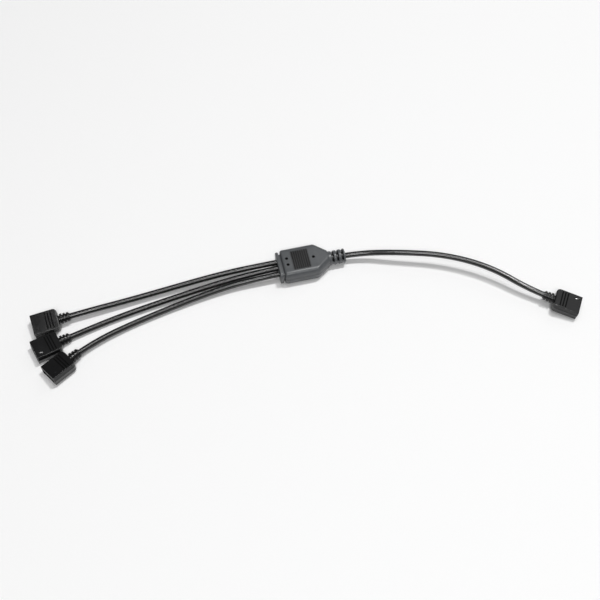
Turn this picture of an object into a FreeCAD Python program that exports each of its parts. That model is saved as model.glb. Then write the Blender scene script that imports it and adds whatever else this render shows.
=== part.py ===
import FreeCAD, Part
import math
import os

# One-to-three splitter cable for addressable lighting, in millimetres.
# Origin under the middle of the junction hub, x along the hub towards the trunk cable, z up.

V = FreeCAD.Vector

# Round forms are drawn with flat sides, and rounded corners with one facet for each step of turn
RING_SIDES = 24
HOLE_SIDES = 12
CORE_SIDES = 6
CORNER_STEP = 22.5

# How close two places count as the same one
CLOSE = 1e-6

# Jacketed cable and the three insulated cores in it
CABLE_D = 3.2
CORE_D = 0.8
CORE_PITCH = 1.0

# Hub over all, and its body: a block with rounded long edges that tapers to a nearly round neck
HUB_L = 38.1
HUB_W = 18.4
HUB_H = 10.2
HUB_EDGE_R = 2.7
HUB_TAPER = 7.0
HUB_NECK_D = 8.8
HUB_NECK_R = 4.0
HUB_SHOULDER_L = 0.8
HUB_END_R = 1.2
HUB_END_FACETS = 2
HUB_NECK_BEVEL = 0.5

# End flange on the branch side and the groove behind it
FLANGE_W = 17.1
FLANGE_H = 9.0
FLANGE_T = 1.55
FLANGE_CORNER_R = 1.6
FLANGE_BEVEL = 0.35
GROOVE_W = 1.05
GROOVE_DEPTH = 1.4

# Slotted strain relief on the trunk side of the hub
RELIEF_D = 8.0
RELIEF_CORE_D = 4.8
RELIEF_COLLAR = 1.62
RELIEF_SLOT = 1.25
RELIEF_RING = 1.5
RELIEF_TIP = 0.93
RELIEF_SLOTS = 3
RELIEF_WEB_W = 2.0
RELIEF_WEB_DROP = 0.2

# Grip panel of cross grooves on both faces of the hub, and the mould's locating pin holes
PANEL_START = 5.8
PANEL_W = 12.0
PANEL_PITCH = 1.2
PANEL_GROOVE_W = 0.6
PANEL_DEPTH = 0.35
PANEL_GROOVES = 8
LOCATOR_D = 1.7
LOCATOR_DEPTH = 1.6
LOCATOR_PAIR_START = 2.8
LOCATOR_PAIR_SPACING = 4.0
LOCATOR_SINGLE_START = 17.6

# Inside the hub: cable ends, splice bands and the lanes of the branch cables
LANE_PITCH = 3.9
BRANCH_GRIP = 6.5
TRUNK_GRIP = 8.3
SPLICE_L = 5.0
SPLICE_W = 3.2
SPLICE_H = 1.5
SPLICE_PITCH = 2.5
SPLICE_START = 12.9

# Plug body
PLUG_L = 14.5
PLUG_W = 11.9
PLUG_H = 5.9
PLUG_REAR_R = 2.3
PLUG_BEVEL = 0.4
GRIP_START = 7.6
GRIP_PITCH = 1.55
GRIP_GROOVE_W = 0.65
GRIP_GROOVE_L = 9.6
GRIP_DEPTH = 0.35
GRIP_GROOVES = 3
ARROW_L = 2.4
ARROW_W = 1.5
ARROW_H = 0.25
ARROW_START = 1.6
ARROW_OFFSET = 3.3

# Ringed strain relief on the plug
BOOT_ROOT_D = 5.8
BOOT_END_D = 5.2
BOOT_CORE_D = 4.0
BOOT_SLOT = 0.85
BOOT_RING = 1.0
BOOT_TIP = 0.65
BOOT_RINGS = 3

# Contact block in the plug: four positions, the third one blank
CONTACT_PITCH = 2.54
BLOCK_L = 7.2
BLOCK_W = 10.4
BLOCK_H = 3.4
BLOCK_RECESS = 0.4
BLOCK_FRONT_WALL = 0.9
SOCKET_W = 1.0
SOCKET_MOUTH_W = 1.5
SOCKET_MOUTH_DEPTH = 0.4
CONTACT_W = 1.9
CONTACT_WALL = 0.2
CONTACT_CLEARANCE = 0.05
CONTACT_TAIL_L = 1.8
CONTACT_TAIL_W = 1.2
SPRING_GAP = 0.55
SPRING_CREST = 0.6
PLUG_CABLE_GRIP = 1.5

# Each circuit: its position in the contact block and its place in the row of cores
CIRCUITS = {"5v": (1.5, 1), "data": (0.5, 0), "ground": (-1.5, -1)}

# Straight stretch of cable outside each strain relief, and the share of a run that a bend takes
CABLE_LEAD = 7.0
BEND_SHARE = 0.45

# Each cable end: lane in the hub (None for the trunk), where the cable enters the plug,
# the plug's heading, its pitch (nose down) and roll (left side up), and the cable's route between
ENDS = {
    "branch_a": {
        "lane": 1, "entry": (-135.4, -4.2), "turn": (185.5, 2.2, -8.4),
        "route": [(-51.5, 4.3, 3.8), (-101.5, -0.8, 3.5)],
    },
    "branch_b": {
        "lane": 0, "entry": (-137.1, -16.0), "turn": (197.2, -4.2, 0.6),
        "route": [(-51.5, -0.9, 3.6), (-102.5, -7.7, 2.1)],
    },
    "branch_c": {
        "lane": -1, "entry": (-133.4, -26.7), "turn": (211.5, -1.8, 9.1),
        "route": [(-51.5, -4.5, 3.6), (-98.5, -13.7, 2.1)],
    },
    "trunk": {
        "lane": None, "entry": (118.8, -49.5), "turn": (-33.2, 7.0, -5.8),
        "route": [(48.5, -6.8, 8.6), (73.5, -14.6, 9.1), (95.5, -27.7, 8.8)],
    },
}

# Places along the hub, worked out from the sizes above
RELIEF_L = RELIEF_COLLAR + RELIEF_SLOTS * RELIEF_SLOT + (RELIEF_SLOTS - 1) * RELIEF_RING + RELIEF_TIP
FLANGE_X = -HUB_L / 2
RELIEF_END_X = HUB_L / 2
BODY_X = FLANGE_X + FLANGE_T + GROOVE_W
NECK_X = RELIEF_END_X - RELIEF_L
SHOULDER_X = NECK_X - HUB_TAPER
HUB_MID = HUB_H / 2
BRANCH_END_X = FLANGE_X + BRANCH_GRIP
TRUNK_END_X = RELIEF_END_X - TRUNK_GRIP
SPLICE_X = BODY_X + SPLICE_START

# Places along the plug, measured from the cable's entry towards the mating face
BOOT_L = BOOT_RINGS * (BOOT_SLOT + BOOT_RING) + BOOT_TIP
PLUG_FRONT_X = BOOT_L + PLUG_L
BLOCK_FRONT_X = PLUG_FRONT_X - BLOCK_RECESS
BLOCK_REAR_X = BLOCK_FRONT_X - BLOCK_L
TAIL_X = BLOCK_REAR_X - CONTACT_TAIL_L
PLUG_CABLE_END_X = BOOT_L + PLUG_CABLE_GRIP


def centred_box(length, width, height, x, y=0.0, z=0.0):
    """A box that starts at x and is centred on y and z."""
    return Part.makeBox(length, width, height, V(x, y - width / 2, z - height / 2))


def flat(points):
    """A flat face with the points as its corners."""
    return Part.Face(Part.makePolygon(points + points[:1]))


def stacked(outlines):
    """A solid with flat faces through outlines that lie one above the other, corner for corner."""
    faces = [flat(outlines[0]), flat(outlines[-1])]
    for low, high in zip(outlines, outlines[1:]):
        for i in range(len(low)):
            j = (i + 1) % len(low)
            faces.append(flat([low[i], low[j], high[j]]))
            faces.append(flat([low[i], high[j], high[i]]))
    return Part.Solid(Part.Shell(faces))


def bisector(corners, i):
    """The inward direction at a corner of an outline, and half the angle between its sides."""
    back = (corners[i - 1] - corners[i]).normalize()
    ahead = (corners[(i + 1) % len(corners)] - corners[i]).normalize()
    return (back + ahead).normalize(), back.getAngle(ahead) / 2


def rounded_outline(corners, radii):
    """The points of an outline with each corner rounded to its radius (0 leaves it sharp)."""
    points = []
    for i, corner in enumerate(corners):
        if not radii[i]:
            points.append(corner)
            continue
        inward, half = bisector(corners, i)
        back = (corners[i - 1] - corner).normalize()
        turn = 180 - 2 * math.degrees(half)
        centre = corner + inward * (radii[i] / math.sin(half))
        spoke = corner + back * (radii[i] / math.tan(half)) - centre
        axis = spoke.cross(corner - centre)
        facets = max(1, round(turn / CORNER_STEP))
        for k in range(facets + 1):
            points.append(centre + FreeCAD.Rotation(axis, k * turn / facets).multVec(spoke))
    return points


def many_sided(centre, axis, diameter, sides):
    """A flat regular polygon across the axis, with its corners on the given diameter."""
    along = V(axis).normalize()
    across = along.cross(V(0, 1, 0)).normalize()
    beside = across.cross(along)
    turns = [2 * math.pi * i / sides for i in range(sides)]
    return flat([centre + (across * math.cos(t) + beside * math.sin(t)) * (diameter / 2) for t in turns])


def bar(start, axis, diameter, sides):
    """A straight many-sided bar from its start along the axis."""
    return many_sided(start, axis, diameter, sides).extrude(axis)


def cable_bore(start, axis):
    """The hole that a moulding leaves round a cable's end: its flats clear the cable's corners."""
    return bar(start, axis, CABLE_D / math.cos(math.pi / HOLE_SIDES), HOLE_SIDES)


def core_wire(start, end):
    """One insulated core between two planes across x, cut flush with both."""
    section = many_sided(start, V(1, 0, 0), CORE_D, CORE_SIDES)
    return section.extrude(end - start)


# Junction hub

def block_outline(x, half_w, half_h, radius):
    """A rounded rectangle across x, centred on the hub's axis."""
    signs = ((1, 1), (-1, 1), (-1, -1), (1, -1))
    corners = [V(x, y * half_w, HUB_MID + z * half_h) for y, z in signs]
    return rounded_outline(corners, [radius] * 4)


def hub_section(x, less=0.0):
    """The body's outline across x, drawn in by a little: past the shoulder it shrinks to the neck."""
    share = max(0.0, x - SHOULDER_X) / HUB_TAPER
    half_w = HUB_W / 2 + share * (HUB_NECK_D - HUB_W) / 2
    half_h = HUB_H / 2 + share * (HUB_NECK_D - HUB_H) / 2
    radius = HUB_EDGE_R + share * (HUB_NECK_R - HUB_EDGE_R)
    return block_outline(x, half_w - less, half_h - less, radius - less)


def hub_body():
    """The body: sections from the rounded rear end over the shoulder to the neck."""
    sections = []
    for k in range(HUB_END_FACETS + 1):
        turn = math.pi / 2 * k / HUB_END_FACETS
        sections.append(hub_section(BODY_X + HUB_END_R * (1 - math.cos(turn)), HUB_END_R * (1 - math.sin(turn))))
    sections.append(hub_section(SHOULDER_X - HUB_SHOULDER_L))
    sections.append(hub_section(SHOULDER_X + HUB_SHOULDER_L))
    sections.append(hub_section(NECK_X - HUB_NECK_BEVEL))
    sections.append(hub_section(NECK_X, HUB_NECK_BEVEL))
    return stacked(sections)


def hub_flange():
    """The end flange and the recessed neck that joins it to the body."""
    outline = block_outline(FLANGE_X, FLANGE_W / 2, FLANGE_H / 2, FLANGE_CORNER_R)
    flange = flat(outline).extrude(V(FLANGE_T, 0, 0))
    outer = [e for e in flange.Edges if abs(e.CenterOfMass.x - FLANGE_X) < CLOSE]
    flange = flange.makeChamfer(FLANGE_BEVEL, outer)
    neck = centred_box(GROOVE_W, FLANGE_W - 2 * GROOVE_DEPTH, FLANGE_H - 2 * GROOVE_DEPTH,
                       FLANGE_X + FLANGE_T, 0, HUB_MID)
    return [flange, neck]


def hub_relief():
    """The strain relief: rings on a core tube, tied at both sides by webs across the slots."""
    def disc(diameter, start, width):
        return bar(V(NECK_X + start, 0, HUB_MID), V(width, 0, 0), diameter, RING_SIDES)

    collar = disc(RELIEF_D, -HUB_EDGE_R, HUB_EDGE_R + RELIEF_COLLAR)
    solids = [disc(RELIEF_CORE_D, 0, RELIEF_L), collar]
    for i in range(RELIEF_SLOTS):
        slot = RELIEF_COLLAR + i * (RELIEF_SLOT + RELIEF_RING)
        last = i == RELIEF_SLOTS - 1
        solids.append(disc(RELIEF_D, slot + RELIEF_SLOT, RELIEF_TIP if last else RELIEF_RING))
        web = centred_box(RELIEF_SLOT, RELIEF_D, RELIEF_WEB_W, NECK_X + slot, 0, HUB_MID)
        solids.append(web.common(disc(RELIEF_D - 2 * RELIEF_WEB_DROP, slot, RELIEF_SLOT)))
    return solids


def hub_cuts():
    """Grip grooves on both faces and the locating pin holes in the top."""
    cuts = []
    for z in (0, HUB_H):
        for i in range(PANEL_GROOVES):
            x = BODY_X + PANEL_START + i * PANEL_PITCH
            cuts.append(centred_box(PANEL_GROOVE_W, PANEL_W, 2 * PANEL_DEPTH, x, 0, z))
    beside = LOCATOR_PAIR_SPACING / 2
    pair, single = LOCATOR_PAIR_START, LOCATOR_SINGLE_START
    for start, y in ((pair, beside), (pair, -beside), (single, 0)):
        cuts.append(bar(V(BODY_X + start, y, HUB_H), V(0, 0, -LOCATOR_DEPTH), LOCATOR_D, HOLE_SIDES))
    return cuts


def hub_insides():
    """Splice bands, and the cores that run from the cables' ends to them."""
    pieces = {}
    for circuit, (_, row) in CIRCUITS.items():
        z = HUB_MID + row * SPLICE_PITCH
        cable_z = HUB_MID + row * CORE_PITCH
        pieces["hub_splice_" + circuit] = centred_box(SPLICE_L, SPLICE_W, SPLICE_H, SPLICE_X, 0, z)
        for end, spec in ENDS.items():
            name = "hub_" + end + "_core_" + circuit
            if spec["lane"] is None:
                start, stop = V(SPLICE_X + SPLICE_L, 0, z), V(TRUNK_END_X, 0, cable_z)
            else:
                start = V(BRANCH_END_X, spec["lane"] * LANE_PITCH, cable_z)
                stop = V(SPLICE_X, spec["lane"] * CORE_PITCH, z)
            pieces[name] = core_wire(start, stop)
    return pieces


def hub_overmould(insides):
    """The hub as moulded: body, flange and strain relief in one, around what it holds."""
    bores = [cable_bore(V(TRUNK_END_X, 0, HUB_MID), V(TRUNK_GRIP, 0, 0))]
    for spec in ENDS.values():
        if spec["lane"] is not None:
            start = V(FLANGE_X, spec["lane"] * LANE_PITCH, HUB_MID)
            bores.append(cable_bore(start, V(BRANCH_GRIP, 0, 0)))
    shell = hub_body().multiFuse(hub_flange() + hub_relief()).removeSplitter()
    return shell.cut(hub_cuts() + bores + list(insides.values()))


# Plug, in its own frame: x from the cable's entry to the mating face, z up from mid-height

def contact_places():
    """Each circuit's offset across the contact block."""
    return {circuit: place * CONTACT_PITCH for circuit, (place, _) in CIRCUITS.items()}


def plug_boot():
    """The plug's strain relief: a core tube, and rings on it that grow towards the body."""
    solids = [bar(V(0, 0, 0), V(BOOT_L, 0, 0), BOOT_CORE_D, RING_SIDES)]
    for i in range(BOOT_RINGS):
        start = BOOT_TIP + i * (BOOT_RING + BOOT_SLOT)
        diameter = BOOT_END_D + i / (BOOT_RINGS - 1) * (BOOT_ROOT_D - BOOT_END_D)
        solids.append(bar(V(start, 0, 0), V(BOOT_RING, 0, 0), diameter, RING_SIDES))
    return solids


def plug_body():
    """The plug's rounded body with grip grooves on both faces and the raised pin-1 arrow."""
    half_w, half_h = PLUG_W / 2, PLUG_H / 2
    corners = [V(BOOT_L, half_w, -half_h), V(BOOT_L, -half_w, -half_h),
               V(PLUG_FRONT_X, -half_w, -half_h), V(PLUG_FRONT_X, half_w, -half_h)]
    body = flat(rounded_outline(corners, [PLUG_REAR_R, PLUG_REAR_R, 0, 0])).extrude(V(0, 0, PLUG_H))
    rims = [e for e in body.Edges
            if abs(e.CenterOfMass.z) > half_h - CLOSE or e.CenterOfMass.x > PLUG_FRONT_X - CLOSE]
    body = body.makeChamfer(PLUG_BEVEL, rims)
    grooves = []
    for side in (-1, 1):
        for i in range(GRIP_GROOVES):
            x = PLUG_FRONT_X - GRIP_START - i * GRIP_PITCH - GRIP_GROOVE_W
            grooves.append(centred_box(GRIP_GROOVE_W, GRIP_GROOVE_L, 2 * GRIP_DEPTH, x, 0, side * half_h))
    tip = V(PLUG_FRONT_X - ARROW_START, ARROW_OFFSET, half_h)
    base = V(tip.x - ARROW_L, ARROW_OFFSET, half_h)
    side = V(0, ARROW_W / 2, 0)
    arrow = flat([tip, base + side, base - side]).extrude(V(0, 0, ARROW_H))
    return body.cut(grooves).fuse(arrow)


def contact_block():
    """The hard insert: a cavity, a front hole and a flared mouth for each contact."""
    block = centred_box(BLOCK_L, BLOCK_W, BLOCK_H, BLOCK_REAR_X)
    cavity_w = CONTACT_W + 2 * CONTACT_CLEARANCE
    cuts = []
    for y in contact_places().values():
        cuts.append(centred_box(BLOCK_L - BLOCK_FRONT_WALL, cavity_w, cavity_w, BLOCK_REAR_X, y))
        cuts.append(centred_box(BLOCK_L, SOCKET_W, SOCKET_W, BLOCK_REAR_X, y))
        mouth = []
        for x, width in ((BLOCK_FRONT_X - SOCKET_MOUTH_DEPTH, SOCKET_W), (BLOCK_FRONT_X, SOCKET_MOUTH_W)):
            half = width / 2
            mouth.append([V(x, y - half, -half), V(x, y + half, -half),
                          V(x, y + half, half), V(x, y - half, half)])
        cuts.append(stacked(mouth))
    return block.cut(cuts)


def contact(y):
    """A stamped box contact: square tube, spring tongue inside and a crimped tail behind."""
    length = BLOCK_L - BLOCK_FRONT_WALL - CONTACT_CLEARANCE
    inner_w = CONTACT_W - 2 * CONTACT_WALL
    tube = centred_box(length, CONTACT_W, CONTACT_W, BLOCK_REAR_X, y)
    hollow = centred_box(length, inner_w, inner_w, BLOCK_REAR_X + CONTACT_WALL, y)
    root = BLOCK_REAR_X + CONTACT_WALL
    low = -inner_w / 2 - CONTACT_WALL / 2  # the tongue's feet are half sunk in the tube's floor
    peak = inner_w / 2 - SPRING_GAP - CONTACT_WALL
    reach = length - CONTACT_WALL
    line = [V(root, 0, low), V(root + reach * SPRING_CREST, 0, peak), V(root + reach, 0, low)]
    thick = V(0, 0, CONTACT_WALL)
    sheet = line + [p + thick for p in reversed(line)]
    width = inner_w - 2 * CONTACT_WALL
    tongue = flat(sheet).extrude(V(0, width, 0))
    tongue.translate(V(0, y - width / 2, 0))
    tail = centred_box(CONTACT_TAIL_L, CONTACT_TAIL_W, CONTACT_TAIL_W, TAIL_X, y)
    return tube.cut(hollow).multiFuse([tongue, tail])


def plug_pieces():
    """All pieces of one plug, named by their role."""
    pieces = {"contact_block": contact_block()}
    cores, contacts = [], []
    for circuit, y in contact_places().items():
        row = CIRCUITS[circuit][1]
        pieces["contact_" + circuit] = contact(y)
        start = V(PLUG_CABLE_END_X, row * CORE_PITCH, 0)
        pieces["core_" + circuit] = core_wire(start, V(TAIL_X, y, 0))
        contacts.append(pieces["contact_" + circuit])
        cores.append(pieces["core_" + circuit])
    pocket = centred_box(BLOCK_L + BLOCK_RECESS, BLOCK_W, BLOCK_H, BLOCK_REAR_X)
    bore = cable_bore(V(0, 0, 0), V(PLUG_CABLE_END_X, 0, 0))
    shell = plug_body().multiFuse(plug_boot()).removeSplitter()
    pieces["overmould"] = shell.cut([pocket, bore] + contacts + cores)
    return pieces


def plug_placement(spec, overmould):
    """The plug turned to its heading and tilt, with its lowest corner on the table."""
    yaw, pitch, roll = spec["turn"]
    x, y = spec["entry"]
    placement = FreeCAD.Placement(V(x, y, 0), FreeCAD.Rotation(yaw, pitch, roll))
    laid = overmould.copy()
    laid.Placement = placement
    placement.Base = V(x, y, -laid.optimalBoundingBox(False, False).ZMin)
    return placement


# Cables

def cable_points(spec, placement):
    """The corners of a cable's route, from its end in the hub to its end in the plug."""
    forward = placement.Rotation.multVec(V(1, 0, 0))
    if spec["lane"] is None:
        start = V(TRUNK_END_X, 0, HUB_MID)
        lead_out = V(RELIEF_END_X + CABLE_LEAD, 0, HUB_MID)
    else:
        start = V(BRANCH_END_X, spec["lane"] * LANE_PITCH, HUB_MID)
        lead_out = V(FLANGE_X - CABLE_LEAD, spec["lane"] * LANE_PITCH, HUB_MID)
    lead_in = placement.Base - forward * CABLE_LEAD
    stop = placement.Base + forward * PLUG_CABLE_END_X
    return [start, lead_out] + [V(*p) for p in spec["route"]] + [lead_in, stop]


def cable(name, points):
    """A round cable along straight runs that are joined by the largest arcs they have room for."""
    edges, radii = [], []
    here = points[0]
    for i in range(1, len(points) - 1):
        corner = points[i]
        back, ahead = points[i - 1] - corner, points[i + 1] - corner
        reach = BEND_SHARE * min(back.Length, ahead.Length)
        back.normalize()
        ahead.normalize()
        half = back.getAngle(ahead) / 2
        radius = reach * math.tan(half)
        inward = (back + ahead).normalize()
        middle = corner + inward * (radius / math.sin(half) - radius)
        enter, leave = corner + back * reach, corner + ahead * reach
        edges.append(Part.LineSegment(here, enter).toShape())
        edges.append(Part.Arc(enter, middle, leave).toShape())
        radii.append(radius)
        here = leave
    edges.append(Part.LineSegment(here, points[-1]).toShape())
    path = Part.Wire(edges)
    section = many_sided(points[0], points[1] - points[0], CABLE_D, HOLE_SIDES)
    tube = path.makePipe(section)
    expected = section.Area * path.Length
    print(name, "length", round(path.Length, 1), "volume over section times length",
          round(tube.Volume / expected, 5), "radii", [round(r) for r in radii])
    return tube


def build():
    """Every piece of the splitter by its name."""
    parts = hub_insides()
    parts["hub_overmould"] = hub_overmould(parts)
    pieces = plug_pieces()
    for end, spec in ENDS.items():
        placement = plug_placement(spec, pieces["overmould"])
        for role, piece in pieces.items():
            laid = piece.copy()
            laid.Placement = placement
            parts[end + "_plug_" + role] = laid
        parts[end + "_cable"] = cable(end + "_cable", cable_points(spec, placement))
    return parts


os.makedirs("parts", exist_ok=True)
for name, shape in build().items():
    solids = shape.Solids
    if len(solids) != 1 or not shape.isValid():
        print("check", name, "solids", len(solids), "valid", shape.isValid())
    solids[0].exportStep("parts/" + name + ".step")
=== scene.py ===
import math

import bpy
from mathutils import Euler, Matrix, Vector


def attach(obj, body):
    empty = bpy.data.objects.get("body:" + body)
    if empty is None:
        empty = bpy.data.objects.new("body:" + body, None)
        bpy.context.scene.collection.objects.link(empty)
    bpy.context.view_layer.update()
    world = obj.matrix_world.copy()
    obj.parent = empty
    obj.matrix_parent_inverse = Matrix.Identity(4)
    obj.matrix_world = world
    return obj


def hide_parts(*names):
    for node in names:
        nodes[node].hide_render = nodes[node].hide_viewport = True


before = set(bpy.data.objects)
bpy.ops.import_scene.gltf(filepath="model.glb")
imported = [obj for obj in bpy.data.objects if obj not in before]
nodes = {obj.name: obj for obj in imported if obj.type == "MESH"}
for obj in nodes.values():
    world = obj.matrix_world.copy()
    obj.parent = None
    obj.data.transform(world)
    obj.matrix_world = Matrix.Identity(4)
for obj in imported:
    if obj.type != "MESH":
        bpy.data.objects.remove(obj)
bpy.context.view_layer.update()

# Junction hub. One overmoulding of soft black PVC, shot in a two-part mould round the spliced
# cores. The mould leaves a parting line at mid-height and three wells on top, where its pins held
# the splices. Cross grooves on both faces give the fingers a grip.

MM = 0.001
CORNER_STEPS = 8
SHARP_FROM = math.radians(40)


def placed(name, data):
    """A new object in the scene that holds this mesh, curve, lamp or camera."""
    piece = bpy.data.objects.new(name, data)
    bpy.context.scene.collection.objects.link(piece)
    return piece


def lofted(name, rings):
    """A closed piece through rings of points in millimetres, which all turn the same way."""
    count = len(rings[0])
    points = [Vector(p) * MM for ring in rings for p in ring]
    faces = [list(range(count))[::-1], list(range(len(points) - count, len(points)))]
    for start in range(0, len(points) - count, count):
        for k in range(count):
            a, b = start + k, start + (k + 1) % count
            faces.append([a, b, b + count, a + count])
    mesh = bpy.data.meshes.new(name)
    mesh.from_pydata(points, [], faces)
    return placed(name, mesh)


def shaped(piece, operation, others):
    """Adds the other pieces to this one, or cuts them out of it, and removes them."""
    for other in others:
        step = piece.modifiers.new(other.name, "BOOLEAN")
        step.operation = operation
        step.solver = "EXACT"
        step.object = other
    view = bpy.context.evaluated_depsgraph_get()
    before = piece.data
    piece.data = bpy.data.meshes.new_from_object(piece.evaluated_get(view))
    piece.modifiers.clear()
    for mesh in [before] + [other.data for other in others]:
        bpy.data.meshes.remove(mesh)


def softened(mesh):
    """Smooth shading, with only the true corners left sharp."""
    mesh.shade_smooth()
    mesh.set_sharp_from_angle(angle=SHARP_FROM)


def rounded_ring(x, half_w, half_h, radius, across=(), upright=()):
    """A rounded rectangle across x, with its level and upright sides divided at these shares."""
    ring = []
    flat_w, flat_h = half_w - radius, half_h - radius
    for turn, (y, z) in enumerate(((1, 1), (-1, 1), (-1, -1), (1, -1))):
        for step in range(CORNER_STEPS + 1):
            angle = (turn + step / CORNER_STEPS) * math.pi / 2
            ring.append([x, y * flat_w + radius * math.cos(angle),
                         z * flat_h + radius * math.sin(angle)])
        if turn % 2:
            ring += [[x, y * half_w, z * flat_h * share] for share in upright]
        else:
            ring += [[x, y * flat_w * share, z * half_h] for share in across]
    return ring


parting_half, on_parting = 0.07, 1e-9
groove_end_ease = 0.06
groove_outer_most, groove_inner_most = 0.98, 0.95


def moulded_ring(x, half_w, half_h, radius, proud, groove_half, pressed):
    """A moulding's section at x, with its parting line and a grip groove in both faces."""
    flat_w, flat_h = half_w - radius, half_h - radius
    outer = min((groove_half + groove_end_ease) / flat_w, groove_outer_most)
    inner = min((groove_half - groove_end_ease) / flat_w, groove_inner_most)
    across = [outer, inner, 0.5, 0.0, -0.5, -inner, -outer]
    upright = [parting_half / flat_h, 0.0, -parting_half / flat_h]
    ring = rounded_ring(x, half_w, half_h, radius, across, upright)
    for point in ring:
        if abs(point[2]) < on_parting:
            point[1] += math.copysign(proud, point[1])
        if abs(point[1]) < groove_half and abs(point[2]) > half_h - pressed:
            point[2] -= math.copysign(pressed, point[2])
    return ring


def drawn_in(distance, radius):
    """How far a rounded edge lies inside its corner, at a distance from the corner's end."""
    reach = max(radius - distance, 0.0)
    return radius - math.sqrt(radius * radius - reach * reach)


groove_lip = [(-0.5, 0.0), (-0.1, 0.0), (0.0, 0.03), (0.5, 0.5), (1.0, 0.92), (1.6, 1.0)]


def groove_rows(start, width, wall):
    """Places across a groove, each with the share of the groove's depth there."""
    rows = [(start + wall * place, depth) for place, depth in groove_lip]
    return rows + [(start + width - wall * place, depth) for place, depth in reversed(groove_lip)]


hub_mid = 5.1
flange_x, body_x, shoulder_x, neck_x, hub_end_x = -19.05, -16.45, 2.75, 9.75, 19.05
hub_half_w, hub_half_h, hub_neck_half = 9.2, 5.1, 4.4
hub_edge_r, hub_neck_r, hub_end_r, neck_end_r = 2.7, 4.0, 1.2, 0.5
shoulder_ease, taper_start, taper_step = 0.9, 0.6, 0.7
hub_parting_proud = 0.05
panel_start, panel_pitch, panel_grooves, panel_half = -10.65, 1.2, 8, 5.95
panel_groove_w, panel_groove_wall, panel_groove_depth = 0.6, 0.1, 0.35


def hub_ring(x, pressed):
    """The hub's section at x, with a grip groove pressed in."""
    past = x - shoulder_x
    if abs(past) < shoulder_ease:
        past = (past + shoulder_ease) ** 2 / (4 * shoulder_ease)
    share = max(past, 0.0) / (neck_x - shoulder_x)
    less = drawn_in(x - body_x, hub_end_r) + drawn_in(neck_x - x, neck_end_r)
    half_w = hub_half_w + (hub_neck_half - hub_half_w) * share - less
    half_h = hub_half_h + (hub_neck_half - hub_half_h) * share - less
    radius = hub_edge_r + (hub_neck_r - hub_edge_r) * share - less
    return moulded_ring(x, half_w, half_h, radius, hub_parting_proud, panel_half, pressed)


hub_rows = [(body_x + hub_end_r * (1 - math.cos(k * math.pi / 12)), 0.0) for k in range(7)]
for k in range(panel_grooves):
    hub_rows += groove_rows(panel_start + k * panel_pitch, panel_groove_w, panel_groove_wall)
hub_rows += [(shoulder_x + shoulder_ease * (k / 4 - 1), 0.0) for k in range(9)]
hub_rows += [(shoulder_x + shoulder_ease + taper_start + taper_step * k, 0.0) for k in range(7)]
hub_rows += [(neck_x - neck_end_r * (1 - math.sin(k * math.pi / 8)), 0.0) for k in range(5)]
hub = lofted("hub_moulding", [hub_ring(x, panel_groove_depth * depth)
                              for x, depth in sorted(hub_rows)])

flange_half_w, flange_half_h, flange_r = 8.55, 4.5, 2.4
flange_rows = [(0.0, 0.4), (0.1, 0.14), (0.25, 0.03), (0.45, 0.0),
               (1.25, 0.0), (1.42, 0.03), (1.55, 0.15)]
flange = lofted("flange", [
    rounded_ring(flange_x + x, flange_half_w - less, flange_half_h - less, flange_r - less)
    for x, less in flange_rows])
waist_half_w, waist_half_h, waist_r = 7.15, 3.1, 0.9
waist = lofted("waist", [rounded_ring(x, waist_half_w, waist_half_h, waist_r)
                         for x in (flange_x + 1.0, body_x + 1.5)])

# Strain relief of the hub. The moulding runs on as rings round the trunk cable, with open slots
# above and below them and a web at each side, so that it bends with the cable but doesn't stretch.
# The cables' bores and the pins' wells are then cut, and the whole hub gets its finish, with shade
# painted near black into the wells, the slots and the grip grooves.

relief_r, relief_core_r, web_r, web_half = 4.0, 2.4, 3.8, 1.0
relief_turn_step, web_ease = 6.0, 1.2
slot_first, slot_pitch, slot_count, slot_w = 1.62, 2.75, 3, 1.25
slot_wall, slot_edge_drop = 0.02, 0.25
slot_before = (-0.3, 0.0), (-0.12, 0.03), (-0.03, 0.13)
slot_after = (0.03, 0.13), (0.12, 0.03), (0.25, 0.0)
relief_end = (-0.22, 0.02), (-0.1, 0.09), (0.0, 0.3)
relief_root = 2.0


def eased(share):
    """0 before 0, 1 after 1, and a soft step between."""
    share = min(max(share, 0.0), 1.0)
    return share * share * (3 - 2 * share)


def relief_ring(x, radius, in_slot=False):
    """A ring of the strain relief, or a slot of it between the two side webs."""
    edge = math.degrees(math.asin(web_half / web_r))
    turns = {k * relief_turn_step for k in range(int(360 / relief_turn_step))}
    turns |= {(half_turn + side * (edge + shift)) % 360
              for half_turn in (0, 180) for side in (1, -1) for shift in (-web_ease, 0.0, web_ease)}
    ring = []
    for turn in sorted(turns):
        reach = radius
        if in_slot:
            from_side = abs((turn + 90) % 180 - 90)
            open_share = eased((from_side - edge + web_ease) / (2 * web_ease))
            reach = min(radius, relief_core_r + (web_r - relief_core_r) * (1 - open_share))
        ring.append([x, reach * math.cos(math.radians(turn)), reach * math.sin(math.radians(turn))])
    return ring


relief_rings = [relief_ring(neck_x - relief_root, relief_r)]
for k in range(slot_count):
    start = neck_x + slot_first + k * slot_pitch
    stop = start + slot_w
    relief_rings += [relief_ring(start + x, relief_r - drop) for x, drop in slot_before]
    relief_rings += [relief_ring(x, relief_r - slot_edge_drop, True)
                     for x in (start + slot_wall, stop - slot_wall)]
    relief_rings += [relief_ring(stop + x, relief_r - drop) for x, drop in slot_after]
relief_rings += [relief_ring(hub_end_x + x, relief_r - drop) for x, drop in relief_end]
relief = lofted("relief", relief_rings)


def round_ring(x, radius, steps=64):
    """A circle across x."""
    turns = [2 * math.pi * k / steps for k in range(steps)]
    return [[x, radius * math.cos(t), radius * math.sin(t)] for t in turns]


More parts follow.
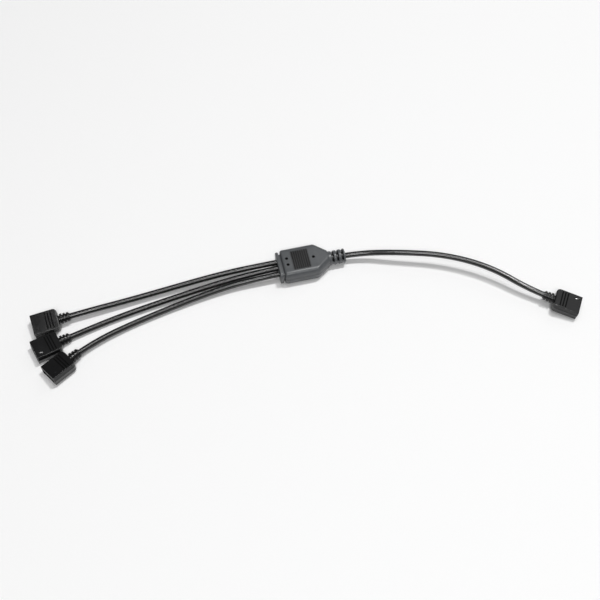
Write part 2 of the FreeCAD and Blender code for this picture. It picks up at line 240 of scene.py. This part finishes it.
cable_r, cable_play = 1.6, 0.06
bore_r = cable_r + cable_play
lanes = {"branch_a": 3.9, "branch_b": 0.0, "branch_c": -3.9}
trunk_bore_l, branch_bore_l, bore_mouth = 8.3, 6.5, 0.2
bores = [lofted("trunk_bore", [round_ring(x, bore_r)
                               for x in (hub_end_x - trunk_bore_l, hub_end_x + 1)])]
for end, lane in lanes.items():
    rings = [round_ring(flange_x + x, r) for x, r in (
        (-1, bore_r + bore_mouth), (0, bore_r + bore_mouth), (bore_mouth, bore_r),
        (branch_bore_l, bore_r))]
    bores.append(lofted(end + "_bore", [[[x, y + lane, z] for x, y, z in ring] for ring in rings]))

pin_places = (-13.65, 2.0), (-13.65, -2.0), (1.15, 0.0)
pin_rows = (-1.6, 0.8), (-0.08, 0.85), (0.5, 0.97)
pin_steps = 32
pins = []
for pin_x, pin_y in pin_places:
    turns = [2 * math.pi * k / pin_steps for k in range(pin_steps)]
    pins.append(lofted("pin_well", [
        [[pin_x + r * math.cos(t), pin_y + r * math.sin(t), hub_half_h + z] for t in turns]
        for z, r in pin_rows]))
shaped(hub, "UNION", [flange, waist, relief])
shaped(hub, "DIFFERENCE", bores + pins)
hub.data.transform(Matrix.Translation((0, 0, hub_mid * MM)))
softened(hub.data)


class Wire:
    """A shader socket as a value. Arithmetic adds Math nodes, and node() adds any other node."""

    def __init__(self, tree, socket=None):
        self.tree = tree
        self.socket = socket

    def node(self, kind, settings, sockets, output=0):
        added = self.tree.nodes.new(kind)
        for name, value in settings.items():
            setattr(added, name, value)
        for name, value in sockets.items():
            if isinstance(value, Wire):
                self.tree.links.new(value.socket, added.inputs[name])
            else:
                added.inputs[name].default_value = value
        return Wire(self.tree, added.outputs[output])

    def math(self, operation, first, second=0.0):
        return self.node("ShaderNodeMath", {"operation": operation}, {0: first, 1: second})

    def __add__(self, other):
        return self.math("ADD", self, other)

    __radd__ = __add__

    def __sub__(self, other):
        return self.math("SUBTRACT", self, other)

    def __rsub__(self, other):
        return self.math("SUBTRACT", other, self)

    def __mul__(self, other):
        return self.math("MULTIPLY", self, other)

    __rmul__ = __mul__

    def __abs__(self):
        return self.math("ABSOLUTE", self)

    def to(self, socket):
        self.tree.links.new(self.socket, socket)


def finish_of(name):
    """A new material, its shader's sockets, and the place on the piece."""
    material = bpy.data.materials.new(name)
    material.use_nodes = True
    tree = material.node_tree
    place = Wire(tree).node("ShaderNodeTexCoord", {}, {}, "Object")
    return material, tree.nodes["Principled BSDF"].inputs, place


def mottle(place, scale, detail, roughness=0.5):
    """Cloudy noise over the piece."""
    return place.node("ShaderNodeTexNoise", {}, {
        "Vector": place, "Scale": scale, "Detail": detail, "Roughness": roughness})


def tinted(share, first, second):
    """A colour between two colours, of which the first may be a wire."""
    if not isinstance(first, Wire):
        first = (*first, 1)
    return share.node("ShaderNodeMix", {"data_type": "RGBA"}, {
        0: share, 6: first, 7: (*second, 1)}, 2)


def grained(shader, height, strength, depth):
    """Gives the surface a grain of this depth in millimetres."""
    height.node("ShaderNodeBump", {}, {
        "Strength": strength, "Distance": depth * MM, "Height": height}).to(shader["Normal"])


def moulded_pvc(name, dark, light, roughness, grain, shade_painter=None):
    """Moulded PVC: cloudy in tone, with the mould's fine spark-eroded grain, smooth in patches."""
    material, shader, place = finish_of(name)
    cloud = mottle(place, 330, 5, 0.62)
    patch = mottle(place, 90, 2)
    pits = mottle(place, 4200, 2, 0.7)
    cells = place.node("ShaderNodeTexVoronoi", {}, {"Vector": place, "Scale": 2600})
    colour = tinted(cloud * 0.7 + pits * 0.5 - 0.1, dark, light)
    # Where a painter is given, painted shade goes into the hub's hollows.
    if shade_painter:
        colour = shade_painter(place, colour)
    colour.to(shader["Base Color"])
    (roughness - 0.18 + patch * 0.2 + pits * 0.16).to(shader["Roughness"])
    grained(shader, pits * 0.7 + cells * 0.5, grain, 0.06)
    return material


panel_mid = panel_start + ((panel_grooves - 1) * panel_pitch + panel_groove_w) / 2
# The grip panel's darker tone, and the near black of the shade painted into the hub's hollows.
panel_black, painted_shade_black = (0.022, 0.022, 0.023), (0.003, 0.003, 0.003)

# Each of these is where the grip panel's darker tone and the painted shade end, and how softly. A
# negative softness keeps what lies beyond.
panel_edge_x, panel_edge_y, panel_edge_z = (4.9, 0.6), (6.0, 0.8), (4.4, -0.2)
groove_edge_z = hub_half_h - 0.15, 0.05
pin_edge_r, pin_edge_z = (1.1, 0.1), (hub_half_h - 0.2, 0.1)
slot_edge_r, slot_edge_x = (3.1, 0.4), (neck_x + 1.5, -0.1)


def hub_painted_shade(place, colour):
    """Painted shade, near black, in the hub's pin wells, strain relief slots and grip groove
    floors, over a darker tone on the grip panel.
    """
    x, y, z = [place.node("ShaderNodeSeparateXYZ", {}, {0: place}, k) for k in range(3)]
    height = abs(z - hub_mid * MM)

    def within(value, edge, soft):
        return value.node("ShaderNodeMapRange", {"interpolation_type": "SMOOTHSTEP"}, {
            "Value": value, "From Min": (edge + soft) * MM, "From Max": (edge - soft) * MM})

    def away(first, second):
        return first.math("SQRT", first * first + second * second)

    panel = within(abs(x - panel_mid * MM), *panel_edge_x) * within(abs(y), *panel_edge_y)
    panel = panel * within(height, *panel_edge_z)
    # Painted shade: inside the strain relief's slots, and below in the pin wells, the colour goes
    # near black.
    dark = within(away(y, height), *slot_edge_r) * within(x, *slot_edge_x)
    for pin_x, pin_y in pin_places:
        well = within(away(x - pin_x * MM, y - pin_y * MM), *pin_edge_r)
        dark = dark.math("MAXIMUM", dark, well * within(height, *pin_edge_z))
    # Painted shade on the floors of the grip panel's grooves as well.
    dark = dark.math("MAXIMUM", dark, panel * within(height, *groove_edge_z))
    return tinted(dark, tinted(panel, colour, panel_black), painted_shade_black)


hub.data.materials.append(moulded_pvc(
    "hub_pvc", (0.06, 0.064, 0.068), (0.108, 0.114, 0.12), 0.34, 0.35, hub_painted_shade))
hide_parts("hub_overmould")
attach(hub, "root")

# Plugs. Four of the same black overmoulding, one on each cable end: a flat body with grip grooves
# on both faces, a raised arrow that marks the first contact, and a ringed strain relief round the
# cable. They lie a few degrees askew, as the stiff cables leave them.

boot_l, plug_front_x = 6.2, 20.7
plug_half_w, plug_half_h, plug_edge_r = 5.95, 2.95, 0.42
plug_back_r_w, plug_back_r_h, plug_front_r = 2.3, 0.6, 0.3
plug_parting_proud = 0.04
grip_starts, grip_half = (9.35, 10.9, 12.45), 4.8
grip_w, grip_wall, grip_depth = 0.65, 0.07, 0.35


def plug_ring(x, pressed):
    """The plug body's section at x, with a grip groove pressed in."""
    front = drawn_in(plug_front_x - x, plug_front_r)
    half_w = plug_half_w - drawn_in(x - boot_l, plug_back_r_w) - front
    half_h = plug_half_h - drawn_in(x - boot_l, plug_back_r_h) - front
    return moulded_ring(x, half_w, half_h, plug_edge_r, plug_parting_proud, grip_half, pressed)


plug_rows = [(boot_l + plug_back_r_w * (1 - math.cos(k * math.pi / 16)), 0.0) for k in range(9)]
plug_rows += [(boot_l + 0.02, 0.0), (boot_l + 0.1, 0.0)]
for start in grip_starts:
    plug_rows += groove_rows(start, grip_w, grip_wall)
plug_rows += [(14.5, 0.0), (17.5, 0.0), (plug_front_x - 0.35, 0.0)]
plug_rows += [(plug_front_x - plug_front_r * (1 - math.sin(k * math.pi / 8)), 0.0)
              for k in range(5)]
plug = lofted("plug_moulding", [plug_ring(x, grip_depth * depth) for x, depth in sorted(plug_rows)])

boot_core_r, boot_ring_r = 2.0, (2.6, 2.75, 2.9)
boot_ring_start, boot_ring_pitch, boot_ring_w = 0.55, 1.85, 1.2
boot_ring_rows = [(0.0, 0.18), (0.1, 0.04), (0.25, 0.0),
                  (0.95, 0.0), (1.1, 0.04), (boot_ring_w, 0.18)]
boot_profile = [(0.0, 1.87), (0.06, 1.96), (0.16, boot_core_r), (0.45, boot_core_r)]
for k, ring_r in enumerate(boot_ring_r):
    start = boot_ring_start + boot_ring_pitch * k
    boot_profile += [(start - 0.03, boot_core_r + 0.01)]
    boot_profile += [(start + x, ring_r - drop) for x, drop in boot_ring_rows]
    boot_profile += [(start + boot_ring_w + 0.03, boot_core_r + 0.01),
                     (start + boot_ring_w + 0.2, boot_core_r)]
boot_profile += [(boot_l + 2.0, boot_core_r)]
boot_steps = 48
boot = lofted("boot", [round_ring(x, r, boot_steps) for x, r in boot_profile])

arrow_tip, arrow_y, arrow_l, arrow_half = plug_front_x - 1.6, 3.3, 2.2, 0.36
arrow_tip_rise, arrow_edge_rise, arrow_ridge_rise = 0.41, 0.1, 0.2
arrow_overlap, arrow_foot = -0.01, -0.3
arrow_halves = []
for side in (1, -1):
    corners = ((arrow_tip, arrow_overlap * side, arrow_tip_rise),
               (arrow_tip - arrow_l, arrow_half * side, arrow_edge_rise),
               (arrow_tip - arrow_l, arrow_overlap * side, arrow_ridge_rise))[::side]
    foot = [[x, arrow_y + y, plug_half_h + arrow_foot] for x, y, rise in corners]
    roof = [[x, arrow_y + y, plug_half_h + rise] for x, y, rise in corners]
    arrow_halves.append(lofted("arrow_half", [foot, roof]))

pocket_half_w, pocket_half_h, pocket_r, pocket_x = 5.2, 1.7, 0.25, 13.1
pocket_rows = (pocket_x, 0.03), (plug_front_x - 0.12, 0.03), (plug_front_x + 0.2, 0.3)
pocket = lofted("pocket", [rounded_ring(x, pocket_half_w + more, pocket_half_h + more, pocket_r)
                           for x, more in pocket_rows])
cable_end_x = 7.7
entry = lofted("entry", [round_ring(x, bore_r, boot_steps) for x in (-1.0, cable_end_x)])
shaped(plug, "UNION", [boot] + arrow_halves)
shaped(plug, "DIFFERENCE", [pocket, entry])
softened(plug.data)

plug_pvc = moulded_pvc("plug_pvc", (0.002, 0.002, 0.0023), (0.008, 0.008, 0.0085), 0.22, 0.15)
# Painted shade: a near-black, rough and dull copy of the plug's moulding for the floors and walls
# of its grip grooves.
painted_groove_shade = moulded_pvc("painted_groove_shade", (0.001, 0.001, 0.001), (0.004, 0.004, 0.004), 0.7, 0.15)
painted_groove_shade.node_tree.nodes["Principled BSDF"].inputs["Specular IOR Level"].default_value = 0.1
plug.data.materials.append(plug_pvc)
plug.data.materials.append(painted_groove_shade)
arrow_from_z = plug_half_h + 0.02
groove_from_z, groove_to_z, groove_to_y = 2.3, plug_half_h - 0.04, grip_half + 0.1
# The groove faces take the painted shade; the arrow's faces stay flat shaded.
for face in plug.data.polygons:
    x, y, z = face.center / MM
    face.use_smooth = z < arrow_from_z
    if abs(y) < groove_to_y and groove_from_z < abs(z) < groove_to_z:
        face.material_index = any(start < x < start + grip_w for start in grip_starts)

plug_places = {
    "branch_a": ((-135.4, -4.2, 4.506), (185.5, 2.2, -8.4)),
    "branch_b": ((-137.1, -16.0, 2.573), (197.2, -4.2, 0.6)),
    "branch_c": ((-133.4, -26.7, 3.521), (211.5, -1.8, 9.1)),
    "trunk": ((118.8, -49.5, 5.944), (-33.2, 7.0, -5.8)),
}
plug_matrix, plugs = {}, {}
for end, (back, (yaw, pitch, roll)) in plug_places.items():
    turn = Euler([math.radians(angle) for angle in (roll, pitch, yaw)], "XYZ").to_matrix().to_4x4()
    plug_matrix[end] = Matrix.Translation(Vector(back) * MM) @ turn
    plugs[end] = placed(end + "_plug_moulding", plug.data.copy())
    plugs[end].data.transform(plug_matrix[end])
    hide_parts(end + "_plug_overmould")
    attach(plugs[end], "root")
bpy.data.objects.remove(plug)

# Contact blocks and contacts. A hard black insert in each plug holds the stamped spring contacts,
# which are crimped to the cores behind it. One of the four places is left blank as a key.


def dressed(words, material):
    """Gives a finish to the CAD pieces that have these words in their names."""
    for name, node in nodes.items():
        if words in name:
            node.data.materials.clear()
            node.data.materials.append(material)


block_plastic, shader, place = finish_of("block_plastic")
flow = mottle(place, 700, 4, 0.6)
tinted(flow, (0.006, 0.006, 0.007), (0.016, 0.016, 0.017)).to(shader["Base Color"])
(0.3 + flow * 0.25).to(shader["Roughness"])
grained(shader, flow, 0.15, 0.03)
dressed("_contact_block", block_plastic)

contact_metal, shader, place = finish_of("contact_metal")
rolled = mottle(place, 1800, 5, 0.7)
tinted(rolled, (0.62, 0.47, 0.2), (0.86, 0.72, 0.42)).to(shader["Base Color"])
shader["Metallic"].default_value = 1.0
(0.2 + rolled * 0.3).to(shader["Roughness"])
for circuit in ("5v", "data", "ground"):
    dressed("_plug_contact_" + circuit, contact_metal)

# Cores and splices. Three thin insulated wires run in each cable: supply, data and ground. Inside
# the hub each trunk wire meets its three branch wires in a pressed metal band.

core_colours = {
    "5v": ((0.42, 0.02, 0.015), (0.62, 0.05, 0.04)),
    "data": ((0.03, 0.26, 0.06), (0.07, 0.42, 0.12)),
    "ground": ((0.5, 0.5, 0.48), (0.68, 0.68, 0.66)),
}
for circuit, (dark, light) in core_colours.items():
    insulation, shader, place = finish_of("core_" + circuit)
    drawn = mottle(place, 900, 4)
    tinted(drawn, dark, light).to(shader["Base Color"])
    (0.32 + drawn * 0.2).to(shader["Roughness"])
    dressed("_core_" + circuit, insulation)

splice_metal, shader, place = finish_of("splice_metal")
pressed = mottle(place, 1500, 5, 0.65)
tinted(pressed, (0.5, 0.27, 0.15), (0.78, 0.5, 0.32)).to(shader["Base Color"])
shader["Metallic"].default_value = 1.0
(0.28 + pressed * 0.3).to(shader["Roughness"])
dressed("_splice_", splice_metal)

# Cables. Round satin black PVC jackets over the three cores, still a little bent from their
# packing. Each one runs from the hub to its plug, and the trunk bows up off the table on its way.

jacket, shader, place = finish_of("cable_jacket")
along = place.node("ShaderNodeMapping", {}, {"Vector": place, "Scale": (0.08, 1.0, 1.0)})
drawn = mottle(along, 2200, 3, 0.6)
sheen = mottle(place, 160, 3)
pits = mottle(place, 5000, 2)
tinted(sheen * 0.5 + drawn * 0.5, (0.002, 0.002, 0.0022), (0.006, 0.006, 0.0064)).to(
    shader["Base Color"])
(0.13 + sheen * 0.1 + drawn * 0.06).to(shader["Roughness"])
shader["Specular IOR Level"].default_value = 0.75
grained(shader, drawn + pits * 0.6, 0.12, 0.04)

cable_routes = {
    "branch_a": [(-12.55, 3.9, 5.1), (-26.05, 3.9, 5.1), (-51.5, 4.3, 3.8), (-101.5, -0.8, 3.5)],
    "branch_b": [(-12.55, 0.0, 5.1), (-26.05, 0.0, 5.1), (-51.5, -0.9, 3.6), (-102.5, -7.7, 2.1)],
    "branch_c": [(-12.55, -3.9, 5.1), (-26.05, -3.9, 5.1), (-51.5, -4.5, 3.6), (-98.5, -13.7, 2.1)],
    "trunk": [(10.75, 0.0, 5.1), (26.05, 0.0, 5.1), (48.5, -6.8, 8.6), (73.5, -14.6, 9.1),
              (95.5, -27.7, 8.8)],
}
plug_lead_x = -7.0
for end, route in cable_routes.items():
    route = [Vector(point) * MM for point in route]
    route += [plug_matrix[end] @ Vector((x * MM, 0, 0)) for x in (plug_lead_x, cable_end_x)]
    line = bpy.data.curves.new(end + "_cable_line", "CURVE")
    line.dimensions = "3D"
    line.bevel_depth = cable_r * MM
    line.bevel_resolution = 8
    line.use_fill_caps = True
    spline = line.splines.new("NURBS")
    spline.points.add(len(route) - 1)
    for point, corner in zip(spline.points, route):
        point.co = (*corner, 1.0)
    spline.order_u = 3
    spline.use_endpoint_u = True
    spline.resolution_u = 24
    line.materials.append(jacket)
    cable = placed(end + "_cable_jacket", line)
    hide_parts(end + "_cable")
    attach(cable, "root")
    leaves = (hub_end_x, 0.0, hub_mid) if end == "trunk" else (flange_x, lanes[end], hub_mid)
    [c * MM for c in leaves]

# Table, studio light and camera. A plain white sheet in a dim even room. A small softbox high up
# at the right throws the shadows, a strip draws the streaks along the cables, and three wider
# ones fill in from the front, the right and overhead. It is seen from above, as in the photo.

table_size = 8.0
bpy.ops.mesh.primitive_plane_add(size=table_size)
table = bpy.context.object
table.name = "table"
sheet_white, shader, place = finish_of("sheet_white")
fibre = mottle(place, 900, 3)
tinted(fibre, (0.95, 0.95, 0.95), (0.97, 0.97, 0.97)).to(shader["Base Color"])
shader["Roughness"].default_value = 0.9
shader["Specular IOR Level"].default_value = 0.1
table.data.materials.append(sheet_white)


def aimed(thing, stand, back):
    """Stands a lamp or the camera in its place, with its back along this direction."""
    thing.location = stand
    thing.rotation_mode = "QUATERNION"
    thing.rotation_quaternion = Vector(back).to_track_quat("Z", "Y")


lamps = {
    "key_softbox": ((0.76, 0.4, 2.4), (0.3, 0.18), 26.4),
    "back_softbox": ((0.1, 0.38, 2.45), (0.8, 0.12), 9.8),
    "front_softbox": ((-0.15, -0.85, 1.35), (0.4, 0.4), 5.6),
    "right_softbox": ((1.05, 0.65, 1.1), (0.9, 0.9), 1.7),
    "overhead_softbox": ((-0.1, -0.45, 1.25), (1.5, 1.1), 3.3),
}
lamps_aim_y = -0.02
for name, (stand, (width, depth), power) in lamps.items():
    lamp = bpy.data.lights.new(name, "AREA")
    lamp.shape = "RECTANGLE"
    lamp.size, lamp.size_y = width, depth
    lamp.energy = power
    aimed(placed(name, lamp), stand, (0, stand[1] - lamps_aim_y, stand[2]))

world = bpy.data.worlds.new("studio")
world.use_nodes = True
bpy.context.scene.world = world
room = world.node_tree.nodes["Background"]
room.inputs["Color"].default_value = (1.0, 1.0, 1.0, 1.0)
room.inputs["Strength"].default_value = 0.12

camera_stand, camera_aim = Vector((-0.0775, -0.3105, 0.5176)), Vector((-0.01097, -0.01971, 0.0))
camera = bpy.data.cameras.new("camera")
camera.sensor_width = 36.0
camera.lens = 64.89
camera.clip_start, camera.clip_end = 0.01, 20.0
eye = placed("camera", camera)
aimed(eye, camera_stand, camera_stand - camera_aim)
bpy.context.scene.camera = eye

bpy.context.scene.view_settings.view_transform = "Standard"
